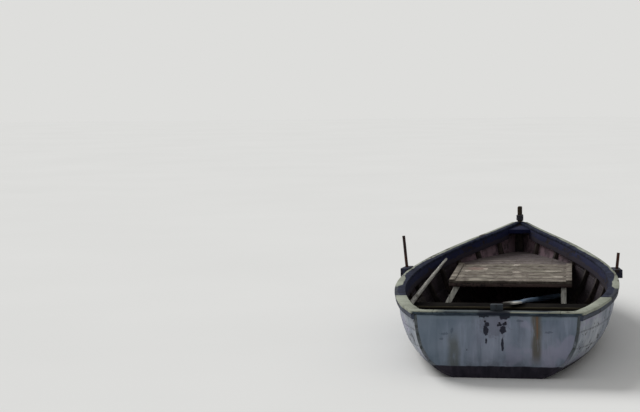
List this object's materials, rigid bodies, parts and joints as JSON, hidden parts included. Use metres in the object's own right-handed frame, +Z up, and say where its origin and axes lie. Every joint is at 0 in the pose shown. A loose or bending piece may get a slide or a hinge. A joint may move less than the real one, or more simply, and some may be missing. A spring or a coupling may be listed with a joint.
{
  "type": "wooden rowing boat",
  "caption": "Small carvel-planked wooden rowing boat with a transom stern, thwart, boarded platform forward, thole pins, stowed oar and pole.",
  "frame": {"origin": "amidships on the centreline, at the waterline", "axes": "+Y to the bow, +X to starboard, +Z up"},
  "size_m": [1.6872, 4.286, 0.922],
  "materials": {
    "bottom_paint": "worn dark bottom paint",
    "hull_paint": "worn pale blue-grey paint",
    "cap_paint": "worn pale grey-green paint",
    "rail_paint": "worn dark blue-black paint",
    "inside_paint": "worn dark blue paint",
    "frame_wood": "old stained wood",
    "deck_wood": "weathered bare wood",
    "edge_wood": "dark brown paint",
    "dark_wood": "dark oiled wood",
    "pale_wood": "bleached wood"
  },
  "bodies": {
    "root": {"keel": "bottom_paint", "skeg": "bottom_paint", "garboards": "bottom_paint", "strakes_2": "bottom_paint", "strakes_3": "bottom_paint", "strakes_4": "hull_paint", "strakes_5": "hull_paint", "strakes_6": "hull_paint", "sheer_strakes": "hull_paint", "stem": "dark_wood", "apron": "frame_wood", "transom": "hull_paint", "sternpost": "rail_paint", "stern_knee": "frame_wood", "floor_timbers": "frame_wood", "frames_port": "frame_wood", "frames_starboard": "frame_wood", "gunwale_caps": "cap_paint", "quarter_boards": "cap_paint", "transom_cap": "cap_paint", "rub_rails": "rail_paint", "inwales": "inside_paint", "breasthook": "inside_paint", "risers": "frame_wood", "thwart": "deck_wood", "stern_seat": "deck_wood", "floorboards": "deck_wood", "platform_planks": "deck_wood", "platform_header": "edge_wood", "platform_bearers": "frame_wood", "platform_battens": "deck_wood", "deck_beams": "frame_wood", "deck_shelves": "frame_wood", "foredeck_planks": "deck_wood", "platform_props": "pale_wood", "thole_blocks": "rail_paint", "thole_pins": "dark_wood", "oars": "pale_wood", "pole": "pale_wood"}
  },
  "joints": []
}
